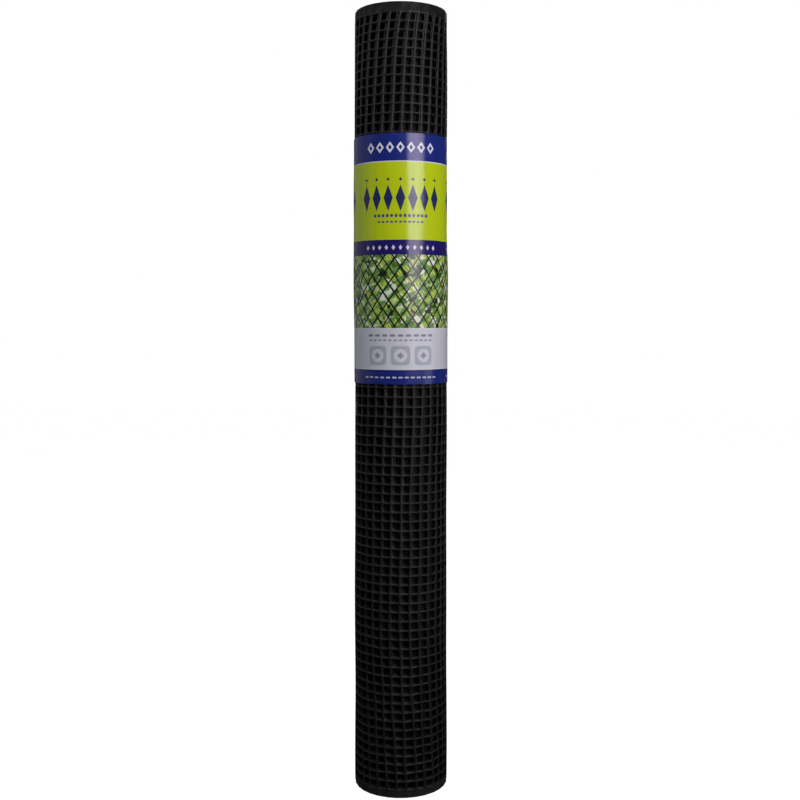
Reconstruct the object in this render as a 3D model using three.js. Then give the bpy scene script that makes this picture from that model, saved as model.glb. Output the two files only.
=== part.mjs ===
// A roll of square-mesh black plastic netting, standing on one end, held closed by a wrapped label.
// Millimetres, +Z up along the roll. The origin is on the floor under the middle of the roll, and
// the front is towards -Y. The net is wound as a spiral: its loose outer end lies against the roll
// just round the right-hand edge, and each turn lies one turn's thickness inside the one before.
// The solid has the wound outline, the loose ends' steps, the mesh of the outer turn as ridges with
// a dimple in each gap, the plain selvedges at both ends and the open eye.

import * as THREE from 'three';

// The net and how it is wound
const NET_WIDTH = 914; // 3 ft, the roll's height
const NET_LENGTH = 4570; // 15 ft
const ROLL_DIAMETER = 109.6;
const TURN = 1.8; // from one turn to the next, along a radius
const LOOSE_END_ANGLE = THREE.MathUtils.degToRad(20); // from +X, anticlockwise seen from above
const INNER_END_ANGLE = THREE.MathUtils.degToRad(140);

// The mesh and the selvedges
const UPRIGHTS = 30; // upright strands in the outer turn, about 11.3 mm apart
const ROWS = 84; // rows of gaps, about 10.6 mm apart
const ROW_SPREAD = 5.25; // how far the rows move away from half way up, in one wave along the roll
const ROW_WAVE = 1.4; // and in three waves along it
const GAP_DEPTH = 2.5 * TURN; // each gap is open down to the turns inside
const TOP_SELVEDGE = 11.5;
const BOTTOM_SELVEDGE = 8.8;

// The label wrapped round the roll
const LABEL_BOTTOM = 482;
const LABEL_TOP = 767;
const LABEL_THICKNESS = 1;
const LABEL_GAP = 0.4; // between the net and the label
const LABEL_LAP = 22; // where the label's two ends overlap, at the back
const LABEL_LAP_ANGLE = THREE.MathUtils.degToRad(75);
const LAP_STEP = 0.5; // how far the upper end stands out of the lap
const LABEL_BRIDGE = THREE.MathUtils.degToRad(40); // where it spans the loose end's step

// How far the roll is out of true, as rises in its radius
const TAPER = 1.15; // from the top down to the bottom
const SWELL = { rise: 0.18, length: 195, start: 183 }; // slow waves along the roll
const OVAL = { rise: 0.15, length: 700, start: 0.8 }; // two rises round the roll, turning as they climb
const LOBES = { rise: 0.15, length: 430, start: 2.1 }; // three, turning the other way

// How far the winding has slipped sideways: a lean, and a curl that fades away from each end
const LEAN = 0.0262; // for each millimetre above its level height
const LEAN_LEVEL = 417;
const TOP_CURL = { slip: 9.7, fade: 55 };
const BOTTOM_CURL = { slip: 16.5, fade: 133 };

// How finely the solids are drawn
const LEVEL_STEP = 50;
const EYE_SIDES = 40;
const LABEL_SIDES = 72;

const FULL_TURN = 2 * Math.PI;
const OUTER_RADIUS = ROLL_DIAMETER / 2 + TURN / 4; // at the loose outer end
const MEAN_RADIUS = OUTER_RADIUS - TURN / 2;
const EYE_RADIUS = Math.sqrt(MEAN_RADIUS ** 2 - (NET_LENGTH * TURN) / Math.PI);

/** Angle from 0 to a full turn, clockwise from a starting angle, in radians. */
function clockwiseFrom(start, angle) {
  return THREE.MathUtils.euclideanModulo(start - angle, FULL_TURN);
}

/** Radius of the wound net's outer face before the roll's unevenness: one turn less each round. */
function spiralRadius(angle) {
  return OUTER_RADIUS - (TURN * clockwiseFrom(LOOSE_END_ANGLE, angle)) / FULL_TURN;
}

/** How much the roll is out of true at an angle and a height: a slight taper and three slow waves. */
function unevenness(angle, z) {
  const taper = TAPER * (0.5 - z / NET_WIDTH);
  const swell = SWELL.rise * Math.sin((FULL_TURN * (z - SWELL.start)) / SWELL.length);
  const oval = OVAL.rise * Math.sin(2 * angle + (FULL_TURN * z) / OVAL.length + OVAL.start);
  const lobes = LOBES.rise * Math.sin(3 * angle - (FULL_TURN * z) / LOBES.length + LOBES.start);
  return taper + swell + oval + lobes;
}

/** Angle by which the winding has slipped at a height: a slow lean, and more towards both ends. */
function slip(z) {
  const lean = LEAN * (z - LEAN_LEVEL);
  const topCurl = TOP_CURL.slip * Math.exp((z - NET_WIDTH) / TOP_CURL.fade);
  const bottomCurl = BOTTOM_CURL.slip * Math.exp(-((z / BOTTOM_CURL.fade) ** 1.5));
  return (lean + topCurl + bottomCurl) / MEAN_RADIUS;
}

/** Radius of the net's outer face, for an angle in the winding before its slip, and a height. */
function netRadius(wound, z) {
  return spiralRadius(wound) + unevenness(wound + slip(z), z);
}

/** The point of a ring at an angle, a radius and a height, with the spiral's box centred on the axis. */
function pointAt(angle, radius, z) {
  return new THREE.Vector3(
    radius * Math.cos(angle) - TURN / 4,
    radius * Math.sin(angle) + TURN / 4,
    z);
}

/** Height of a row of cross strands, or of a place between two rows, from 0 to ROWS. */
function rowHeight(row) {
  const share = row / ROWS;
  const even = BOTTOM_SELVEDGE + (NET_WIDTH - TOP_SELVEDGE - BOTTOM_SELVEDGE) * share;
  return even - ROW_SPREAD * Math.sin(FULL_TURN * share) - ROW_WAVE * Math.sin(3 * FULL_TURN * share);
}

/** A point of the outer turn: so many strands along from its loose end, at a height, sunk by a depth. */
function netPoint(strand, z, depth) {
  const almostRound = FULL_TURN - 1e-4; // keeps the last strand on its own side of the loose end
  const wound = LOOSE_END_ANGLE - Math.min((FULL_TURN * strand) / UPRIGHTS, almostRound);
  return pointAt(wound + slip(z), netRadius(wound, z) - depth, z);
}

/** Strands of the outer turn from last to first, which is anticlockwise: its two ends are the step. */
function strandsAnticlockwise() {
  return Array.from({ length: UPRIGHTS + 1 }, (_, i) => UPRIGHTS - i);
}

/** The eye's ring at a height, anticlockwise, with the step of the net's inner end. */
function eyeRing(z) {
  return Array.from({ length: EYE_SIDES + 1 }, (_, side) => {
    const share = side / EYE_SIDES;
    return pointAt(INNER_END_ANGLE + FULL_TURN * share, EYE_RADIUS + TURN * (share - 0.5), z);
  });
}

/** Collects the points and faces of one closed solid, then gives it as a geometry. */
class Solid {
  constructor() {
    this.positions = [];
    this.faces = [];
  }

  addPoint(point) {
    this.positions.push(point.x, point.y, point.z);
    return this.positions.length / 3 - 1;
  }

  /** Adds rings of points, each anticlockwise, and returns their numbers ring by ring. */
  addRings(rings) {
    return rings.map((ring) => ring.map((point) => this.addPoint(point)));
  }

  /** Adds a quad, its corners anticlockwise as seen from outside, or four faces up to a given peak. */
  addQuad([a, b, c, d], peak) {
    if (peak === undefined) {
      this.faces.push(a, b, c, a, c, d);
    } else {
      this.faces.push(a, b, peak, b, c, peak, c, d, peak, d, a, peak);
    }
  }

  /** Adds the wall through a column of rings: facing out, or in towards the axis. */
  addWall(rings, facesOut, peakAt = () => undefined) {
    for (let level = 0; level + 1 < rings.length; level += 1) {
      const below = rings[level];
      const above = rings[level + 1];
      below.forEach((corner, i) => {
        const next = (i + 1) % below.length;
        const quad = [corner, below[next], above[next], above[i]];
        this.addQuad(facesOut ? quad : quad.reverse(), peakAt(level, i));
      });
    }
  }

  /** Adds the flat end between an outer and an inner ring. */
  addEnd(outer, inner, facesUp) {
    const numbers = [...outer, ...[...inner].reverse()];
    const flat = numbers.map((n) => new THREE.Vector2(this.positions[3 * n], this.positions[3 * n + 1]));
    const contour = flat.slice(0, outer.length);
    const hole = flat.slice(outer.length);
    THREE.ShapeUtils.triangulateShape(contour, [hole]).forEach((face) => {
      const corners = face.map((i) => numbers[i]);
      this.faces.push(...(facesUp ? corners : corners.reverse()));
    });
  }

  /** Closes a tube from its outer and inner walls' rings, which both run upwards. */
  addEnds(outerRings, innerRings) {
    this.addEnd(outerRings.at(0), innerRings.at(0), false);
    this.addEnd(outerRings.at(-1), innerRings.at(-1), true);
  }

  geometry() {
    const geometry = new THREE.BufferGeometry();
    geometry.setAttribute('position', new THREE.Float32BufferAttribute(this.positions, 3));
    geometry.setIndex(this.faces);
    geometry.computeVertexNormals();
    return geometry;
  }
}

/** Heights from one end of a stretch to the other, as even steps no longer than a given one. */
function evenLevels(from, to, longest) {
  const steps = Math.ceil((to - from) / longest);
  return Array.from({ length: steps + 1 }, (_, i) => from + ((to - from) * i) / steps);
}

/** The wound net: one solid from the floor to the top, open along its eye. */
function netRoll() {
  const solid = new Solid();
  const rowLevels = Array.from({ length: ROWS + 1 }, (_, row) => rowHeight(row));
  const levels = [0, ...rowLevels, NET_WIDTH];
  const strands = strandsAnticlockwise();
  const outer = solid.addRings(levels.map((z) => strands.map((strand) => netPoint(strand, z, 0))));
  const inner = solid.addRings([eyeRing(0), eyeRing(NET_WIDTH)]);
  solid.addWall(outer, true, (level, i) => {
    const row = level - 1; // the first level is the bottom selvedge
    const inMesh = row >= 0 && row < ROWS && i < UPRIGHTS;
    return inMesh ? solid.addPoint(netPoint(strands[i] - 0.5, rowHeight(row + 0.5), GAP_DEPTH)) : undefined;
  });
  solid.addWall(inner, false);
  solid.addEnds(outer, inner);
  const blackPlastic = new THREE.MeshStandardMaterial({
    color: 0x1d1d1e, roughness: 0.5, metalness: 0 });
  const mesh = new THREE.Mesh(solid.geometry(), blackPlastic);
  mesh.name = 'net_roll';
  return mesh;
}

/** Radius of the label's inner face: off the net, and straight down from the loose end's edge. */
function labelInside(angle, z) {
  const wound = angle - slip(z);
  const pastEnd = THREE.MathUtils.euclideanModulo(wound - LOOSE_END_ANGLE, FULL_TURN);
  const bridge = TURN * (1 - Math.min(pastEnd / LABEL_BRIDGE, 1)) ** 2;
  return netRadius(wound, z) + bridge + LABEL_GAP;
}

/** The label: one sheet round the roll, its ends lapped at the back, a little off the net. */
function labelBand() {
  const levels = evenLevels(LABEL_BOTTOM, LABEL_TOP, LEVEL_STEP);
  const ringAt = (z, thickness, lapStep) => Array.from({ length: LABEL_SIDES }, (_, side) => {
    const round = (FULL_TURN * side) / LABEL_SIDES;
    const angle = LABEL_LAP_ANGLE + round;
    const lap = round * MEAN_RADIUS < LABEL_LAP ? lapStep : 0;
    return pointAt(angle, labelInside(angle, z) + thickness + lap, z);
  });
  const solid = new Solid();
  const outer = solid.addRings(levels.map((z) => ringAt(z, LABEL_THICKNESS, LAP_STEP)));
  const inner = solid.addRings(levels.map((z) => ringAt(z, 0, 0)));
  solid.addWall(outer, true);
  solid.addWall(inner, false);
  solid.addEnds(outer, inner);
  const printedFilm = new THREE.MeshStandardMaterial({
    color: 0x8fae1e, roughness: 0.3, metalness: 0 });
  const mesh = new THREE.Mesh(solid.geometry(), printedFilm);
  mesh.name = 'label_band';
  return mesh;
}

const roll = new THREE.Group();
roll.add(netRoll(), labelBand());

export default roll;
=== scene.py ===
"""A roll of square-mesh black plastic netting, standing on one end and held closed by a wrapped label.

Shapes are worked out in millimetres, as in the part's source, and put into the meshes in metres.
The net is wound from its flat form: a place on it is a strand and a row, and the winding takes that
to a point of the roll. The four outer turns' mesh is open, each turn inside the one before.
"""
import math

import bpy
import numpy as np
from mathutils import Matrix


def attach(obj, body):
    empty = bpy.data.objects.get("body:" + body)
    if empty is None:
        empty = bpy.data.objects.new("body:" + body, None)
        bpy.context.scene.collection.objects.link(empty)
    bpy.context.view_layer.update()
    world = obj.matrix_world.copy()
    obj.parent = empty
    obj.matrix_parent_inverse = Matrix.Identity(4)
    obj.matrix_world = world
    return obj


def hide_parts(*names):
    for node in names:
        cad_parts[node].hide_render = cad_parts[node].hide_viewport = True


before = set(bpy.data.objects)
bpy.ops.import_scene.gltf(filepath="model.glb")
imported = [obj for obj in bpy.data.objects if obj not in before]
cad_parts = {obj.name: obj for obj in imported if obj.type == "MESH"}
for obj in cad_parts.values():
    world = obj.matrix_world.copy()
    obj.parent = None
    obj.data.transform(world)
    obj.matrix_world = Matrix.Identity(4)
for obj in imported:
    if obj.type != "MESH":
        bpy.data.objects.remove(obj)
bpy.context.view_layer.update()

# ---- The net and how it is wound, in millimetres, as in the part's source ----
NET_WIDTH = 914.0
NET_LENGTH = 4570.0
ROLL_DIAMETER = 109.6
TURN = 1.8
LOOSE_END_ANGLE = math.radians(20)
ROWS = 84
ROW_SPREAD = 5.25
ROW_WAVE = 1.4
TOP_SELVEDGE = 11.5
BOTTOM_SELVEDGE = 8.8
LABEL_BOTTOM = 482.0
LABEL_TOP = 767.0
LABEL_GAP = 0.4
LABEL_LAP = 22.0
LABEL_LAP_ANGLE = math.radians(75)
LABEL_BRIDGE = math.radians(40)
TAPER = 1.15
SWELL, SWELL_LENGTH, SWELL_START = 0.18, 195, 183
OVAL, OVAL_LENGTH, OVAL_START = 0.15, 700, 0.8
LOBES, LOBES_LENGTH, LOBES_START = 0.15, 430, 2.1
LEAN, LEAN_LEVEL = 0.0262, 417
TOP_CURL, TOP_CURL_FADE = 9.7, 55
BOTTOM_CURL, BOTTOM_CURL_FADE = 16.5, 133
FULL_TURN = 2 * math.pi
OUTER_RADIUS = ROLL_DIAMETER / 2 + TURN / 4
MEAN_RADIUS = OUTER_RADIUS - TURN / 2
EYE_RADIUS = math.sqrt(MEAN_RADIUS**2 - NET_LENGTH * TURN / math.pi)

# ---- What the fine net adds to that, in millimetres ----
SWAY, SWAY_LENGTH, SWAY_START = 0.5, 170, 116  # a slow sideways wave of the strands
# How far the strands of each open turn lag behind those of the one outside it, and how much further
# they all do at the top and at the foot, from and up to these heights and turns
TURN_LAG, TOP_LAG, FOOT_LAG = 4.4, 2.7, 1.2
TURN_LAG_FROM, TURN_LAG_FULL = -0.1, 0.35
TOP_LAG_FROM, TOP_LAG_FULL = 480, 770
FOOT_LAG_FROM, FOOT_LAG_FULL = 220, 60
END_LAG_FROM, END_LAG_FULL = 0.6, 1.15
# How far the inner turns' edges stand inside the outer turn's, in waves from turn to turn
EDGE_STEP, EDGE_WAVE = 0.45, 2.4
EDGE_STEP_FROM, EDGE_STEP_FULL = 0.9, 2

# ---- The strands, in millimetres ----
UPRIGHT_HALF = 1.3  # half the width of an upright strand
CROSS_HALF = 1.0  # half the width of a cross strand
CORNER = 1.2  # radius in the corners of a gap
NET_THICKNESS = 1.7
# How far out the strands' faces are, on an upright strand, at a crossing and on a cross strand
FRONT_CREST = (0.0, -0.05, -0.3)
FRONT_RIM = (-0.5, -0.65, -0.9)
BACK_RIM = (-1.15, -1.2, -1.3)
BACK_CREST = (-1.6, -1.65, -NET_THICKNESS)
# Round a selvedge: share of its height, and how far out it is on a strand and between two strands
SELVEDGE_PROFILE = (
    (0.0, -0.05, -0.3), (0.15, -0.05, -0.7), (0.86, -0.12, -0.75), (0.96, -0.4, -0.8),
    (1.0, -0.85, -0.85),
    (0.96, -1.2, -1.1), (0.86, -1.35, -1.25), (0.15, -1.4, -1.3), (0.0, -1.65, -NET_THICKNESS),
)
RIDGE_HALF = 1.4  # half the width of a strand's ridge in a selvedge
WANDER = 0.28  # how far the crossings stray from an even grid
UP_AND_DOWN = 0.8  # share of that in height
FOOT_WANDER = 0.9  # and how much further, as a share, near the foot
FOOT_WANDER_FROM, FOOT_WANDER_FULL = 24, 8  # rows
NEIGHBOURS = (1, 2, 3, 2, 1)  # how much each crossing moves with those next to it along the strand
NIB = 1.6  # cut stub of a cross strand at the loose end

PITCH = 11.3  # from one upright strand to the next, along the net
MEAN_PITCH = 11  # of the upright strands and the rows
INNER_END_TURN = 20 + 2 / 3
SPACING = (OUTER_RADIUS - (EYE_RADIUS - TURN / 2 + NET_THICKNESS)) / INNER_END_TURN
# The strands at which the pieces of the net meet, from the loose end: each of the four outer turns,
# then the turns whose mesh is hidden, then the innermost turn
SPLITS = (0, 30, 59, 87, 114, 400, 410)
OPEN_TURNS = 4

rng = np.random.default_rng(7)


def smoothstep(value, low, high):
    """0 below low, 1 above high, and 3t^2 - 2t^3 of the share t between them."""
    t = np.clip((value - low) / (high - low), 0, 1)
    return t * t * (3 - 2 * t)


def unevenness(angle, z):
    """How much the roll is out of true: a taper, and three slow waves along and round it."""
    taper = TAPER * (0.5 - z / NET_WIDTH)
    swell = SWELL * np.sin(FULL_TURN * (z - SWELL_START) / SWELL_LENGTH)
    oval = OVAL * np.sin(2 * angle + FULL_TURN * z / OVAL_LENGTH + OVAL_START)
    lobes = LOBES * np.sin(3 * angle - FULL_TURN * z / LOBES_LENGTH + LOBES_START)
    return taper + swell + oval + lobes


def slip(z):
    """Angle by which the winding has slipped: a slow lean, a curl that fades from each end, and a
    slow wave."""
    lean = LEAN * (z - LEAN_LEVEL)
    top_curl = TOP_CURL * np.exp((z - NET_WIDTH) / TOP_CURL_FADE)
    bottom_curl = BOTTOM_CURL * np.exp(-((np.maximum(z, 0) / BOTTOM_CURL_FADE) ** 1.5))
    sway = SWAY * np.cos(FULL_TURN * (z - SWAY_START) / SWAY_LENGTH)
    return (lean + top_curl + bottom_curl + sway) / MEAN_RADIUS


def turn_radius(turns):
    """Radius of the net's outer face so many turns in: one spacing less for each turn."""
    return OUTER_RADIUS - SPACING * turns


def turns_in(strand):
    """Turns from the loose end to a strand: the turns t whose wound length, a full turn times the mean
    radius times t less half the spacing times t squared, is the strands' pitch times their number."""
    wound = strand * PITCH / FULL_TURN
    return (MEAN_RADIUS - np.sqrt(MEAN_RADIUS**2 - 2 * SPACING * wound)) / SPACING


def lag(turns, z):
    """Angle by which the open turns lag behind the one outside them: so much for each turn, which
    brings their strands nearly in line, and a little more towards both ends of the roll."""
    each = sum(smoothstep(turns - number, TURN_LAG_FROM, TURN_LAG_FULL) for number in range(1, OPEN_TURNS))
    ends = (TOP_LAG * smoothstep(z, TOP_LAG_FROM, TOP_LAG_FULL)
            + FOOT_LAG * smoothstep(-z, -FOOT_LAG_FROM, -FOOT_LAG_FULL))
    return (TURN_LAG * each + ends * smoothstep(turns, END_LAG_FROM, END_LAG_FULL)) / MEAN_RADIUS


def on_ring(angle, radius, z):
    """Points at an angle, a radius and a height, with the spiral's box centred on the axis."""
    x = radius * np.cos(angle) - TURN / 4
    y = radius * np.sin(angle) + TURN / 4
    return np.stack(np.broadcast_arrays(x, y, z), axis=-1)


def wind(turns, z, outward):
    """Points of the wound net: the angle falls by a full turn and the radius by one spacing for each
    turn, the roll's unevenness and slip fade out towards the eye, and the inner turns' edges
    stand a little inside the outer turn's."""
    fade = 1 - turns / INNER_END_TURN
    angle = LOOSE_END_ANGLE - FULL_TURN * turns + (slip(z) - lag(turns, z)) * fade
    radius = turn_radius(turns) + unevenness(angle, z) * fade + outward
    step = EDGE_STEP * (1 - np.cos(EDGE_WAVE * turns)) * smoothstep(turns, EDGE_STEP_FROM, EDGE_STEP_FULL)
    return on_ring(angle, radius, z + step * (1 - 2 * z / NET_WIDTH))


def row_height(row):
    """Height of a row of cross strands: even rows, moved by one wave and by three waves."""
    share = row / ROWS
    even = BOTTOM_SELVEDGE + (NET_WIDTH - TOP_SELVEDGE - BOTTOM_SELVEDGE) * share
    return even - ROW_SPREAD * np.sin(FULL_TURN * share) - ROW_WAVE * np.sin(3 * FULL_TURN * share)


def wandering():
    """A smooth random offset for each crossing: noise averaged with its neighbours along the strand,
    and larger near the foot."""
    noise = rng.standard_normal((SPLITS[-1] + 1, ROWS + len(NEIGHBOURS)))
    smooth = sum(weight * noise[:, number:number + ROWS + 1] for number, weight in enumerate(NEIGHBOURS))
    smooth = smooth / math.sqrt(sum(weight**2 for weight in NEIGHBOURS))
    return WANDER * smooth * (1 + FOOT_WANDER * smoothstep(
        -np.arange(ROWS + 1), -FOOT_WANDER_FROM, -FOOT_WANDER_FULL))


strays = np.stack([wandering(), UP_AND_DOWN * wandering()], axis=-1)


def crossing(strand, row):
    """Turns from the loose end and height of a crossing, or of a place half way between two."""
    strand, row = np.broadcast_arrays(strand, row)
    low_s, low_r = np.floor(strand).astype(int), np.floor(row).astype(int)
    high_s, high_r = np.ceil(strand).astype(int), np.ceil(row).astype(int)
    stray = (strays[low_s, low_r] + strays[high_s, low_r]
             + strays[low_s, high_r] + strays[high_s, high_r]) / 4
    turns = turns_in(strand)
    return turns + stray[..., 0] / (FULL_TURN * turn_radius(turns)), row_height(row) + stray[..., 1]


def net_points(strand, row, along, up, outward):
    """Points of the net near a crossing: so far along the net and up from it, and so far outward."""
    turns, z = crossing(strand, row)
    return wind(turns + along / (FULL_TURN * turn_radius(turns)), z + up, outward)


def selvedge_points(strand, row, along, share, outward):
    """Points of a selvedge: a share of the way from the last row of crossings to the edge."""
    turns, z = crossing(strand, row)
    edge = np.where(np.asarray(row) > 0, NET_WIDTH, 0)
    return wind(turns + along / (FULL_TURN * turn_radius(turns)), z + share * (edge - z), outward)


def mesh_piece(name, patches, uv=None, sharp_angle=80):
    """One mesh from patches of points and quads: points in the same place are made one, each quad
    is two triangles, and triangles with no area are left out."""
    points = np.concatenate([p.reshape(-1, 3) for p, _ in patches])
    starts = np.cumsum([0] + [p.reshape(-1, 3).shape[0] for p, _ in patches])
    quads = np.concatenate([q.reshape(-1, 4) + start for (_, q), start in zip(patches, starts)])
    _, first, number = np.unique(
        np.round(points * 1e4).astype(np.int64), axis=0, return_index=True, return_inverse=True)
    quads = number.reshape(-1)[quads]
    triangles = np.concatenate([quads[:, [0, 1, 2]], quads[:, [0, 2, 3]]])
    a, b, c = triangles.T
    triangles = triangles[(a != b) & (b != c) & (c != a)]
    mesh = bpy.data.meshes.new(name)
    mesh.vertices.add(len(first))
    mesh.vertices.foreach_set("co", (points[first] * 0.001).ravel())
    mesh.loops.add(3 * len(triangles))
    mesh.loops.foreach_set("vertex_index", triangles.ravel())
    mesh.polygons.add(len(triangles))
    mesh.polygons.foreach_set("loop_start", np.arange(0, 3 * len(triangles), 3))
    mesh.update(calc_edges=True)
    mesh.polygons.foreach_set("use_smooth", np.ones(len(triangles), bool))
    mesh.set_sharp_from_angle(angle=math.radians(sharp_angle))
    if uv is not None:
        corner_uv = np.concatenate([u.reshape(-1, 2) for u in uv])[first][triangles]
        mesh.uv_layers.new(name="print").data.foreach_set("uv", corner_uv.ravel())
    piece = bpy.data.objects.new(name, mesh)
    bpy.context.scene.collection.objects.link(piece)
    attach(piece, "root")
    return piece


def grid_quads(rows, columns, flip=False):
    """Quads of a grid of points, numbered row by row."""
    n = np.arange(rows * columns).reshape(rows, columns)
    quads = np.stack([n[:-1, :-1], n[1:, :-1], n[1:, 1:], n[:-1, 1:]], axis=-1)
    return quads[..., ::-1] if flip else quads


def gap_ring(fine, rim):
    """The ring round one gap, as rows of (strand, row, along, up, kind): along the middle of its
    four strands, or round the gap's rim. kind is 0 on an upright strand, 1 at a crossing and 2 on a
    cross strand. A fine ring has three points at each corner, and a plain one has the corners and
    the middles of the sides."""
    ease = CORNER * (1 - math.sqrt(0.5))
    across = UPRIGHT_HALF if rim else 0.0
    upward = CROSS_HALF if rim else 0.0
    corner = (across + ease, upward + ease) if rim else (0.0, 0.0)
    ring = []
    for s, r in ((0, 0), (1, 0), (1, 1), (0, 1)):
        turn_s, turn_r = 1 - 2 * s, 1 - 2 * r
        if fine:
            three = [(across, CROSS_HALF + CORNER, 0), (*corner, 1), (UPRIGHT_HALF + CORNER, upward, 2)]
            ring += [(s, r, turn_s * x, turn_r * y, kind)
                     for x, y, kind in (three if s == r else three[::-1])]
        else:
            ring.append((s, r, turn_s * corner[0], turn_r * corner[1], 1))
            ring.append((0.5, r, 0.0, turn_r * upward, 2) if s == r
                        else (s, 0.5, turn_s * across, 0.0, 0))
    return np.array(ring)


def gap_cells(first, columns, fine):
    """The strands round every gap: four rings a gap, on the crests in front, round the rim in front
    and behind, and on the crests behind, each joined to the next."""
    strand, row = np.meshgrid(first + np.arange(columns), np.arange(ROWS), indexing="ij")
    rings = []
    for rim, outward in ((False, FRONT_CREST), (True, FRONT_RIM), (True, BACK_RIM), (False, BACK_CREST)):
        s, r, along, up, kind = gap_ring(fine, rim).T
        rings.append(net_points(strand[..., None] + s, row[..., None] + r, along, up,
                                np.array(outward)[kind.astype(int)]))
    points = np.stack(rings, axis=2)
    number = np.arange(points.size // 3).reshape(points.shape[:-1])
    after = np.roll(number, -1, axis=-1)
    quads = np.stack([number[:, :, 1:], after[:, :, 1:], after[:, :, :-1], number[:, :, :-1]], axis=-1)
    return points, quads


def side_places(fine):
    """Places along one side of a gap as (share, signed distance from there, kind), corner first."""
    if fine:
        return ((0, 0.0), (0, 1.0), (1, -1.0))
    return ((0, 0.0), (0.5, 0.0))


def selvedge(first, columns, row, fine, closed=False):
    """A plain edge of the net with its strands as low ridges: the profile carried along the net, and
    closed across its foot where no mesh joins it."""
    places = side_places(fine)
    strand = np.append((first + np.arange(columns)[:, None] + [s for s, _ in places]).ravel(),
                       first + columns)
    along = np.append(np.tile([d for _, d in places], columns), 0.0)[:, None]
    on_strand = np.append(np.tile([i == 0 for i in range(len(places))], columns), True)
    profile = np.array(SELVEDGE_PROFILE + (SELVEDGE_PROFILE[:1] if closed else ()))
    along = along * np.where(profile[:, 0] > 0, RIDGE_HALF, UPRIGHT_HALF + CORNER)
    outward = np.where(on_strand[:, None], profile[:, 1], profile[:, 2])
    points = selvedge_points(strand[:, None], row, along, profile[:, 0], outward)
    return points, grid_quads(*points.shape[:2], flip=row > 0)


def side_wall(strand, fine, facing, reach=0.0, nib=0.0):
    """The net's edge along one strand, from its bottom edge to its top: across the strand from front
    to back, by a middle line that stands out by the reach, and further at the crossings."""
    share, front, _ = np.array(SELVEDGE_PROFILE[:5]).T
    back = np.array(SELVEDGE_PROFILE[:3:-1])[:, 1]
    places = side_places(fine)
    rows = np.append((np.arange(ROWS)[:, None] + [s for s, _ in places]).ravel(), ROWS)
    up = np.append(np.tile([(CROSS_HALF + CORNER) * d for _, d in places], ROWS), 0.0)
    at_crossing = np.append(np.tile([i == 0 for i in range(len(places))], ROWS), True)

    def line(selvedge_outward, mesh_outward, mesh_along):
        along = reach * np.array([1, 1, 1, 0.7, 0])
        parts = [selvedge_points(strand, 0, along[:0:-1] * mesh_along, share[:0:-1], selvedge_outward[:0:-1]),
                 net_points(strand, rows, mesh_along * (reach + nib * at_crossing), up,
                            np.where(at_crossing, mesh_outward[1], mesh_outward[0])),
                 selvedge_points(strand, ROWS, along[1:] * mesh_along, share[1:], selvedge_outward[1:])]
        return np.concatenate(parts)

    middle = (front + back) / 2
    lines = [line(front, FRONT_CREST, 0), line(middle, (-0.8, -0.85), -1), line(back, BACK_CREST, 0)]
    if not reach:
        lines = [lines[0], lines[2]]
    points = np.stack(lines)
    return points, grid_quads(*points.shape[:2], flip=not facing)


def net_turn(name, number, fine):
    """One turn of the net from one selvedge to the other, its strands closed at both of its ends."""
    first, last = SPLITS[number], SPLITS[number + 1]
    loose = number == 0
    return mesh_piece(name, [
        gap_cells(first, last - first, fine),
        selvedge(first, last - first, 0, fine),
        selvedge(first, last - first, ROWS, fine),
        side_wall(first, fine, True, *((UPRIGHT_HALF, NIB) if loose else ())),
        side_wall(last, fine, False),
    ])


def selvedge_end(strand, row, facing):
    """The cut end of a selvedge: its profile in front joined to its profile behind."""
    share, front, _ = np.array(SELVEDGE_PROFILE[:5]).T
    back = np.array(SELVEDGE_PROFILE[:3:-1])[:, 1]
    points = selvedge_points(strand, row, 0.0, share, np.stack([front, back]))
    return points, grid_quads(2, 5, flip=facing != (row > 0))


def inner_edges(name):
    """Both selvedges of the turns whose mesh is hidden, as two ribbons wound to the innermost turn."""
    first, last = SPLITS[OPEN_TURNS], SPLITS[-2]
    patches = []
    for row in (0, ROWS):
        patches += [selvedge(first, last - first, row, False, closed=True),
                    selvedge_end(first, row, True), selvedge_end(last, row, False)]
    return mesh_piece(name, patches)


PACKED_BOTTOM = BOTTOM_SELVEDGE - 1
PACKED_TOP = NET_WIDTH - TOP_SELVEDGE + 1
PACKED_INSET = 0.1  # under the crests that the open turns would have there
PACKED_EYE = turn_radius(INNER_END_TURN - 1) + 0.3
PACKED_STEPS_ROUND, PACKED_HEIGHTS = 144, 46


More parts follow.
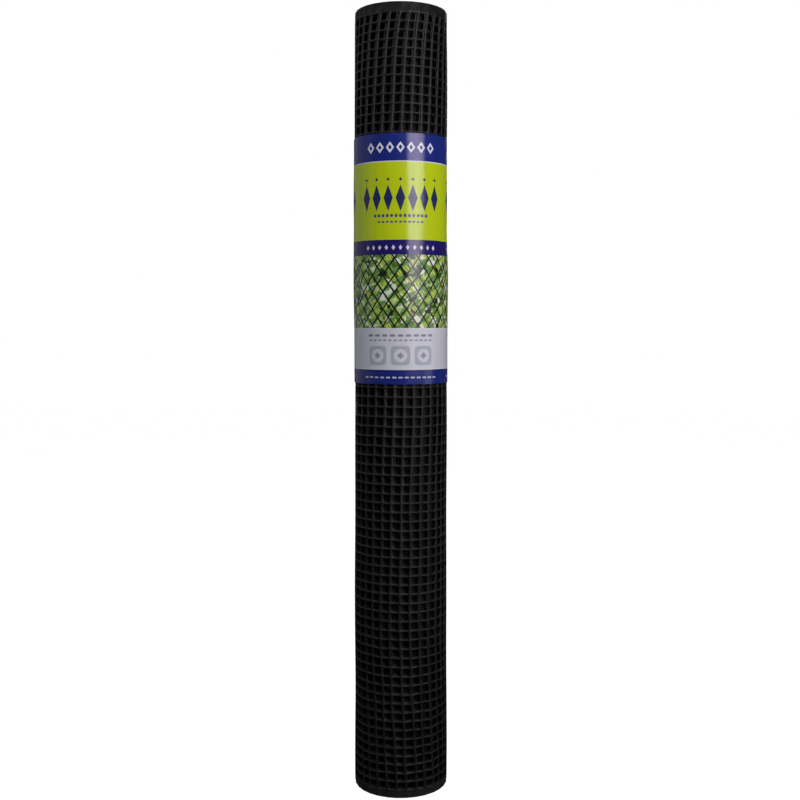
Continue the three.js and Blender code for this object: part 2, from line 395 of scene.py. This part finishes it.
def packed_turns(name):
    """The turns between the open ones and the innermost, as one wound ring: its outside follows the
    spiral for one turn, its inside is a plain circle, and a wall closes the spiral's step."""
    turns = np.linspace(OPEN_TURNS, OPEN_TURNS + 1, PACKED_STEPS_ROUND + 1)[:, None]
    heights = np.linspace(PACKED_BOTTOM, PACKED_TOP, PACKED_HEIGHTS)
    outside = wind(turns, heights, -PACKED_INSET)
    inside = on_ring(LOOSE_END_ANGLE - FULL_TURN * turns, PACKED_EYE, heights[::-1])
    points = np.concatenate([outside, inside, outside[:, :1]], axis=1)
    strand = FULL_TURN * turns * (MEAN_RADIUS - SPACING * turns / 2) / PITCH
    rows = (heights - BOTTOM_SELVEDGE) / (NET_WIDTH - TOP_SELVEDGE - BOTTOM_SELVEDGE)
    rows = np.concatenate([rows, rows[::-1], rows[:1]])
    uv = np.stack(np.broadcast_arrays((strand - strand[0]) / ROWS, rows), axis=-1)
    step = np.stack([outside[0], outside[-1]])
    caps = np.stack([step[:, [0, -1]], np.stack([inside[0, [-1, 0]]] * 2)], axis=0)
    patches = [(points, grid_quads(*points.shape[:2], flip=True)), (step, grid_quads(2, PACKED_HEIGHTS)),
               (caps, np.array([[4, 6, 2, 0], [3, 7, 5, 1]]))]
    return mesh_piece(name, patches, uv=[uv, uv[[0, -1], :PACKED_HEIGHTS], np.zeros((8, 2))])


def selvedge_skins(piece, top_skin, bottom_skin):
    """Gives the faces above the top row of crossings one more material, and those below the bottom
    row another."""
    mesh = piece.data
    mesh.materials.append(top_skin)
    mesh.materials.append(bottom_skin)
    centres = np.empty(3 * len(mesh.polygons))
    mesh.polygons.foreach_get("center", centres)
    height = centres[2::3] * 1000
    above = height > NET_WIDTH - TOP_SELVEDGE + CROSS_HALF
    below = height < BOTTOM_SELVEDGE - CROSS_HALF
    mesh.polygons.foreach_set("material_index", (above + 2 * below).astype(np.int32))


# ---- The label, in millimetres ----
FILM = 0.22
FILM_LENGTH = FULL_TURN * MEAN_RADIUS + LABEL_LAP
FILM_HEIGHT = LABEL_TOP - LABEL_BOTTOM
FILM_LIFT = 0.25  # off the solid label's inner face
FILM_FRONT = (math.radians(270) - LABEL_LAP_ANGLE) * MEAN_RADIUS  # from the lap to the front's middle
LAP_RISE, LAP_RAMP = 0.3, 8  # where the upper end steps up over the lower one
FULLER = ((598, 42, 0.45), (704, 30, 0.4))  # height, reach up and down, and how far out
DRAWN_IN, DRAWN_IN_REACH = 0.2, 3  # at the film's top and bottom edges
RIPPLE = 0.05
FILM_STEPS_ROUND, FILM_HEIGHTS, FILM_HEM = 240, 73, 1.2


def label_inside(angle, z):
    """Radius of the solid label's inner face: off the net, and spanning the loose end's step."""
    wound = angle - slip(z)
    past_end = np.mod(wound - LOOSE_END_ANGLE, FULL_TURN)
    bridge = TURN * (1 - np.minimum(past_end / LABEL_BRIDGE, 1)) ** 2
    spiral = OUTER_RADIUS - TURN * np.mod(-past_end, FULL_TURN) / FULL_TURN
    return spiral + unevenness(angle, z) + bridge + LABEL_GAP


def film_points(around, z, outward):
    """Points of the film so far round from the lap: off the net, fuller at two heights, drawn in at
    both edges, with slow ripples, and stepping up over its own other end in the lap."""
    angle = LABEL_LAP_ANGLE + around / MEAN_RADIUS
    fuller = sum(out * np.exp(-(((z - height) / reach) ** 2)) for height, reach, out in FULLER)
    edge = np.minimum(z - LABEL_BOTTOM, LABEL_TOP - z)
    drawn = -DRAWN_IN * np.exp(-edge / DRAWN_IN_REACH)
    ripples = RIPPLE * np.sin(around / 6.1 + z / 23) * np.sin(z / 17 - around / 29)
    over_strands = RIPPLE * np.cos(FULL_TURN * around / PITCH)
    lap_from = FILM_LENGTH - LABEL_LAP - 1
    lap = LAP_RISE * smoothstep(around, lap_from - LAP_RAMP, lap_from)
    radius = label_inside(angle, z) + FILM_LIFT + fuller + drawn + ripples + over_strands + lap + outward
    return on_ring(angle, radius, z)


def label_film(name):
    """The film as one closed sheet: its outer side, its inner side and the four edges between them."""
    around = np.linspace(0, FILM_LENGTH, FILM_STEPS_ROUND + 1)[:, None]
    z = np.linspace(LABEL_BOTTOM, LABEL_TOP, FILM_HEIGHTS)
    z[1], z[-2] = z[0] + FILM_HEM, z[-1] - FILM_HEM
    outer, inner = film_points(around, z, FILM), film_points(around, z, 0)
    loop = np.concatenate([outer, inner[:, ::-1], outer[:, :1]], axis=1)
    ends = np.stack([outer[[0, -1]], inner[[0, -1]]], axis=1)
    share = np.stack(np.broadcast_arrays(around / FILM_LENGTH, (z - z[0]) / FILM_HEIGHT), axis=-1)
    uv = np.concatenate([share, share[:, ::-1], share[:, :1]], axis=1)
    patches = [(loop, grid_quads(*loop.shape[:2])),
               (ends[0], grid_quads(2, z.size, flip=True)), (ends[1], grid_quads(2, z.size))]
    return mesh_piece(name, patches, uv=[uv, share[[0, 0]], share[[-1, -1]]], sharp_angle=50)


# ---- Materials ----
def linear(hex_colour):
    """A screen colour such as "#1a1a1b" as linear red, green, blue and alpha."""
    screen = np.array([int(hex_colour[i:i + 2], 16) for i in (1, 3, 5)]) / 255
    return (*np.where(screen <= 0.04045, screen / 12.92, ((screen + 0.055) / 1.055) ** 2.4), 1.0)


def add(tree, kind, inputs=(), **settings):
    """Adds a node with its settings; each input is a node, a socket or a constant."""
    node = tree.nodes.new("ShaderNode" + kind)
    for name, value in settings.items():
        setattr(node, name, value)
    for key, value in inputs.items() if isinstance(inputs, dict) else enumerate(inputs):
        if isinstance(value, bpy.types.Node):
            value = value.outputs[0]
        if isinstance(value, bpy.types.NodeSocket):
            tree.links.new(value, node.inputs[key])
        else:
            node.inputs[key].default_value = value
    return node


def material(name):
    """An empty node material and its tree."""
    made = bpy.data.materials.new(name)
    made.use_nodes = True
    made.node_tree.nodes.clear()
    return made, made.node_tree


def colour_ramp(tree, value, stops, interpolation="LINEAR"):
    """A colour for each value, from stops of (place, colour)."""
    ramp = add(tree, "ValToRGB", [value])
    ramp.color_ramp.interpolation = interpolation
    while len(ramp.color_ramp.elements) < len(stops):
        ramp.color_ramp.elements.new(0.5)
    for element, (place, colour) in zip(ramp.color_ramp.elements, stops):
        element.position, element.color = place, linear(colour)
    return ramp


def extruded_polyethylene(name, darker, lighter, shine, packed=False):
    """Black high-density polyethylene, drawn through a die while hot: a satin skin with fine lines
    along the strands and slow cloudy changes of gloss. Where the turns lie packed, the mesh of the
    outermost one is drawn on their wound ring, strands raised by a bump and the gaps painted black
    as painted shade of the depth behind them."""
    made, tree = material(name)
    place = add(tree, "TexCoord").outputs["Object"]
    clouds = add(tree, "TexNoise", {"Vector": place, "Scale": 90.0, "Detail": 3.0})  # about 11 mm
    drawn = add(tree, "Mapping", {"Vector": place, "Scale": (1.0, 1.0, 0.06)})
    # die lines, 0.5 mm apart, coarser than the real ones so that they show
    lines = add(tree, "TexNoise", {"Vector": drawn, "Scale": 2000.0, "Detail": 2.0})
    colour = colour_ramp(tree, clouds, [(0.3, darker), (0.7, lighter)]).outputs[0]
    rough = add(tree, "MapRange", {"Value": clouds, "From Min": 0.3, "From Max": 0.7,
                                   "To Min": 0.44, "To Max": 0.58})
    height = add(tree, "Math", [lines, 0.02], operation="MULTIPLY").outputs[0]
    if packed:
        split = add(tree, "SeparateXYZ", [add(tree, "TexCoord").outputs["UV"]])
        sides = []
        for socket, half in ((split.outputs[0], UPRIGHT_HALF), (split.outputs[1], CROSS_HALF)):
            count = add(tree, "Math", [socket, float(ROWS)], operation="MULTIPLY")
            off = add(tree, "Math", [count, 0.5], operation="PINGPONG")  # 0 on a strand
            sides.append(add(tree, "MapRange", {"Value": off, "From Min": 0.6 * half / MEAN_PITCH,
                                                "From Max": 1.1 * half / MEAN_PITCH,
                                                "To Min": 1.0, "To Max": 0.0}))
        strand = add(tree, "Math", sides, operation="MAXIMUM")
        # the gaps between the drawn strands are painted near black: painted shade of the depth behind them
        colour = add(tree, "Mix", {0: strand, 6: linear("#020202"), 7: colour}, data_type="RGBA").outputs[2]
        height = add(tree, "Math", [strand, 1.0], operation="MULTIPLY").outputs[0]
    bump = add(tree, "Bump", {"Height": height, "Strength": 0.5, "Distance": 0.001})
    shader = add(tree, "BsdfPrincipled", {"Base Color": colour, "Roughness": rough, "IOR": 1.54,
                                          "Specular IOR Level": shine, "Normal": bump})
    add(tree, "OutputMaterial", [shader])
    return made


BLUE, LIME, NAVY, PALE = "#162777", "#b6cd0e", "#1c1260", "#ccd1d9"
# The print's fields, from the label's bottom edge up, in millimetres
FIELDS = ((0, BLUE), (16, "#d8dbe0"), (17.5, PALE), (63, "#d8dbe0"), (64.5, "#24421c"),
          (148, NAVY), (164, LIME), (252, "#d8dbe0"), (253.5, BLUE))
PANELS = 3  # times that the print is repeated round the roll
# Rows of one shape: height of the row, half height, pitch, half width, shapes in the row, exponent
# (1 a lozenge, 2 an oval, 6 a rounded block) and colour
SHAPE_ROWS = (
    (269, 6.4, 12.0, 4.8, 7, 1, "#d5d9e4"), (269, 3.0, 12.0, 2.2, 7, 1, BLUE),
    (212, 15.0, 14.0, 5.4, 7, 1, "#1f2a5c"), (233, 2.0, 14.0, 2.0, 7, 1, "#1f2a5c"),
    (192, 2.0, 5.0, 1.7, 13, 2, "#3f4a7c"), (185, 1.2, 5.0, 1.7, 11, 2, "#3f4a7c"),
    (156, 3.0, 8.0, 2.0, 11, 1, "#cfd2e2"),
    (56, 1.4, 9.0, 3.2, 9, 4, "#7f8696"), (50.5, 1.0, 6.0, 2.0, 13, 4, "#8f95a3"),
    (33, 11.0, 27.0, 11.0, 3, 6, "#a9b1bb"), (33, 7.6, 27.0, 7.6, 3, 2, "#ccd1d8"),
    (33, 3.8, 27.0, 3.8, 3, 1, "#8d98a5"),
    (8, 0.9, 7.0, 2.4, 13, 4, "#b9c0dc"),
)


def printed_film():
    """Polypropylene film printed on its back, so the print lies under a smooth glossy face: flat
    fields of colour, rows of plain shapes, and a field of leaves behind a slanting trellis."""
    made, tree = material("printed_gloss_film")
    share = add(tree, "SeparateXYZ", [add(tree, "TexCoord").outputs["UV"]])
    x = add(tree, "Math", [share.outputs[0], FILM_LENGTH, -FILM_FRONT], operation="MULTIPLY_ADD")
    half_panel = math.pi * MEAN_RADIUS / PANELS
    x = add(tree, "Math", [x, half_panel, -half_panel], operation="WRAP")
    y = add(tree, "Math", [share.outputs[1], FILM_HEIGHT], operation="MULTIPLY")

    def inside(across, upward, half_across, half_upward, exponent):
        """1 where (across / its half)^exponent + (upward / its half)^exponent is below 1."""
        powers = []
        for distance, half in ((across, half_across), (upward, half_upward)):
            size = add(tree, "Math", [distance], operation="ABSOLUTE")
            size = add(tree, "Math", [size, 1 / half], operation="MULTIPLY")
            powers.append(add(tree, "Math", [size, exponent], operation="POWER"))
        return add(tree, "Math", [add(tree, "Math", powers, operation="ADD"), 1.0], operation="LESS_THAN")

    def paint(under, mask, colour):
        """The colour where the mask is 1, and what is under it elsewhere."""
        return add(tree, "Mix", {0: mask, 6: under, 7: colour}, data_type="RGBA").outputs[2]

    fields = colour_ramp(tree, share.outputs[1],
                         [(low / FILM_HEIGHT, colour) for low, colour in FIELDS], "CONSTANT").outputs[0]
    # leaves: cells of many greens, two slanting lattices of pointed leaves, a dark trellis in front
    flat = add(tree, "CombineXYZ", [x, y, 0.0])
    cells = add(tree, "TexVoronoi", {"Vector": flat, "Scale": 1 / 6.5})
    tone = add(tree, "SeparateColor", [cells.outputs["Color"]])
    leaves = colour_ramp(
        tree, tone, [(0.1, "#1b3314"), (0.35, "#5a8834"), (0.58, "#a1c055"), (0.8, "#dde5d8")])
    leaves = leaves.outputs[0]
    for tilt, along, across, colour in ((55, 21.0, 9.0, "#b2ce52"), (-35, 17.0, 11.0, "#6f9c55")):
        slanted = add(tree, "VectorRotate", {"Vector": flat, "Angle": math.radians(tilt)},
                      rotation_type="Z_AXIS")
        split = add(tree, "SeparateXYZ", [slanted])
        a = add(tree, "Math", [split.outputs[0], along / 2], operation="PINGPONG")
        b = add(tree, "Math", [split.outputs[1], across / 2], operation="PINGPONG")
        leaves = paint(leaves, inside(a, b, along * 0.40, across * 0.31, 1.25), linear(colour))
        b = add(tree, "Math", [b, across * 0.03], operation="LESS_THAN")
        leaves = paint(leaves, b, linear("#1c3316"))
    for tilt in (35, -35):
        slanted = add(tree, "VectorRotate", {"Vector": flat, "Angle": math.radians(tilt)},
                      rotation_type="Z_AXIS")
        split = add(tree, "SeparateXYZ", [slanted])
        off = add(tree, "Math", [split.outputs[0], 5.5], operation="PINGPONG")
        leaves = paint(leaves, add(tree, "Math", [off, 0.85], operation="LESS_THAN"), linear("#11180f"))
    low, high = FIELDS[4][0], FIELDS[5][0]
    printed = paint(fields, add(tree, "Math", [y, (low + high) / 2, (high - low) / 2],
                                operation="COMPARE"), leaves)
    for height, half_height, pitch, half_width, count, exponent, colour in SHAPE_ROWS:
        across = add(tree, "Math", [x, pitch / 2], operation="PINGPONG")
        upward = add(tree, "Math", [y, height], operation="SUBTRACT")
        shapes = inside(across, upward, half_width, half_height, exponent)
        near = add(tree, "Math", [x, 0.0, count * pitch / 2], operation="COMPARE")
        printed = paint(printed, add(tree, "Math", [shapes, near], operation="MULTIPLY"), linear(colour))
    place = add(tree, "TexCoord").outputs["Object"]
    waves = add(tree, "TexNoise", {"Vector": place, "Scale": 40.0, "Detail": 2.0})  # 25 mm ripples
    bump = add(tree, "Bump", {"Height": waves, "Strength": 0.4, "Distance": 0.0006})
    smears = add(tree, "TexNoise", {"Vector": place, "Scale": 14.0, "Detail": 4.0})
    rough = add(tree, "MapRange", {"Value": smears, "From Min": 0.3, "From Max": 0.7,
                                   "To Min": 0.20, "To Max": 0.30})
    shader = add(tree, "BsdfPrincipled", {"Base Color": printed, "Roughness": rough, "IOR": 1.49,
                                          "Normal": bump})
    add(tree, "OutputMaterial", [shader])
    return made


# ---- The camera: on the photographed view ----
CAMERA_AT = (-0.001, -1.327, 0.5534)
CAMERA_PITCH = 2.8  # degrees below level
camera = bpy.data.objects.new("camera", bpy.data.cameras.new("camera"))
camera.location = CAMERA_AT
camera.rotation_euler = (math.radians(90 - CAMERA_PITCH), 0, 0)
camera.data.sensor_width = 36
camera.data.lens = 50.23
camera.data.shift_y = -0.0293
bpy.context.scene.collection.objects.link(camera)
bpy.context.scene.camera = camera

# ---- The pieces ----
# The outer turn's strands have a satin shine. Its upper selvedge and the turns inside it get darker,
# duller copies of the plastic as painted shade, and its lower selvedge a lighter one as painted light from
# below
rubbed = extruded_polyethylene("rubbed_black_polyethylene", "#131314", "#1b1b1d", 0.31)
top_edge_painted_shade = extruded_polyethylene("black_polyethylene_painted_shade_top_edge", "#0d0d0e", "#1c1c1e", 0.12)
foot_edge_painted_light = extruded_polyethylene("black_polyethylene_painted_light_foot_edge", "#262627", "#2e2e30", 0.2)
second_turn_painted_shade = extruded_polyethylene("black_polyethylene_painted_shade_second_turn", "#0d0d0e", "#141415", 0.26)
inner_turns_painted_shade = extruded_polyethylene("black_polyethylene_painted_shade_inner_turns", "#060606", "#0c0c0c", 0.16)
packed_painted_shade = extruded_polyethylene("black_polyethylene_painted_shade_packed", "#030303", "#070707", 0.08, packed=True)
turns = [net_turn(f"net_turn_{number + 1}", number, fine=number == 0) for number in range(OPEN_TURNS)]
turns.append(net_turn("net_innermost_turn", len(SPLITS) - 2, fine=False))
edges = inner_edges("net_inner_edges")
packed = packed_turns("net_packed_turns")
film = label_film("label_film_wrap")
# the second turn, the turns inside it and their edges get darker, duller copies of the plastic as painted
# shade
for piece in [*turns, edges, packed]:
    piece.data.materials.append({turns[0]: rubbed, turns[1]: second_turn_painted_shade, packed: packed_painted_shade}.get(piece, inner_turns_painted_shade))
    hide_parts("net_roll")
# the upper selvedge gets a darker copy as painted shade, the lower one a lighter copy as painted light from
# below
selvedge_skins(turns[0], top_edge_painted_shade, foot_edge_painted_light)
film.data.materials.append(printed_film())
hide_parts("label_band")

# ---- The floor, the light and the surroundings ----
floor_mesh = bpy.data.meshes.new("floor")
floor_mesh.from_pydata([(-6, -6, 0), (6, -6, 0), (6, 6, 0), (-6, 6, 0)], [], [(0, 1, 2, 3)])
floor = bpy.data.objects.new("floor", floor_mesh)
bpy.context.scene.collection.objects.link(floor)
floor_paint, tree = material("pale_studio_floor")
floor_mesh.materials.append(floor_paint)
add(tree, "OutputMaterial", [add(tree, "BsdfPrincipled", {
    "Base Color": linear("#5c5c5b"), "Roughness": 0.9, "Specular IOR Level": 0.1,
    "Emission Color": (1.0, 1.0, 1.0, 1.0), "Emission Strength": 0.985})])
floor.visible_diffuse = False
floor.visible_glossy = False


def soft_light(name, at, target, size, power, colour="#ffffff"):
    """A rectangular soft light that faces a point, and isn't seen by the camera itself."""
    data = bpy.data.lights.new(name, "AREA")
    data.shape, data.size, data.size_y, data.energy = "RECTANGLE", *size, power
    data.color = linear(colour)[:3]
    light = bpy.data.objects.new(name, data)
    light.location = at
    facing = (light.location - light.location.__class__(target)).to_track_quat("Z", "Y")
    light.rotation_euler = facing.to_euler()
    light.visible_camera = False
    bpy.context.scene.collection.objects.link(light)


soft_light("softbox_front_right", (0.60, -0.86, 0.94), (0, 0, 0.72), (0.62, 0.76), 9, "#fff4fc")
soft_light("panel_left", (-1.5, 0.7, 0.9), (0, 0.4, 0.5), (2.8, 1.6), 3.5, "#f4eaff")
soft_light("overhead", (-0.6, -1.35, 2.25), (0, 0, 0.5), (1.4, 0.9), 11)
soft_light("upper_left", (-1.2, 0.0, 1.9), (0, 0, 0.6), (0.8, 0.8), 4)
soft_light("low_right", (1.3, -0.5, 0.35), (0, 0, 0.35), (0.5, 0.5), 1.2)
soft_light("back_fill", (0.2, 1.8, 1.3), (0, 0, 0.5), (1.2, 1.2), 16)

world = bpy.data.worlds.new("studio")
bpy.context.scene.world = world
world.use_nodes = True
tree = world.node_tree
tree.nodes.clear()
direction = add(tree, "SeparateXYZ", [add(tree, "TexCoord").outputs["Generated"]])
above = add(tree, "MapRange", {"Value": direction.outputs[2], "From Min": -1.0, "From Max": 1.0,
                               "To Min": 0.01, "To Max": 0.11})
around_it = add(tree, "Background", {"Color": (1.0, 1.0, 1.0, 1.0), "Strength": above.outputs[0]})
backdrop = add(tree, "Background", {"Color": (1.0, 1.0, 1.0, 1.0), "Strength": 1.0})
seen = add(tree, "LightPath").outputs["Is Camera Ray"]
add(tree, "OutputWorld", [add(tree, "MixShader", [seen, around_it, backdrop])])
bpy.context.scene.view_settings.view_transform = "Standard"
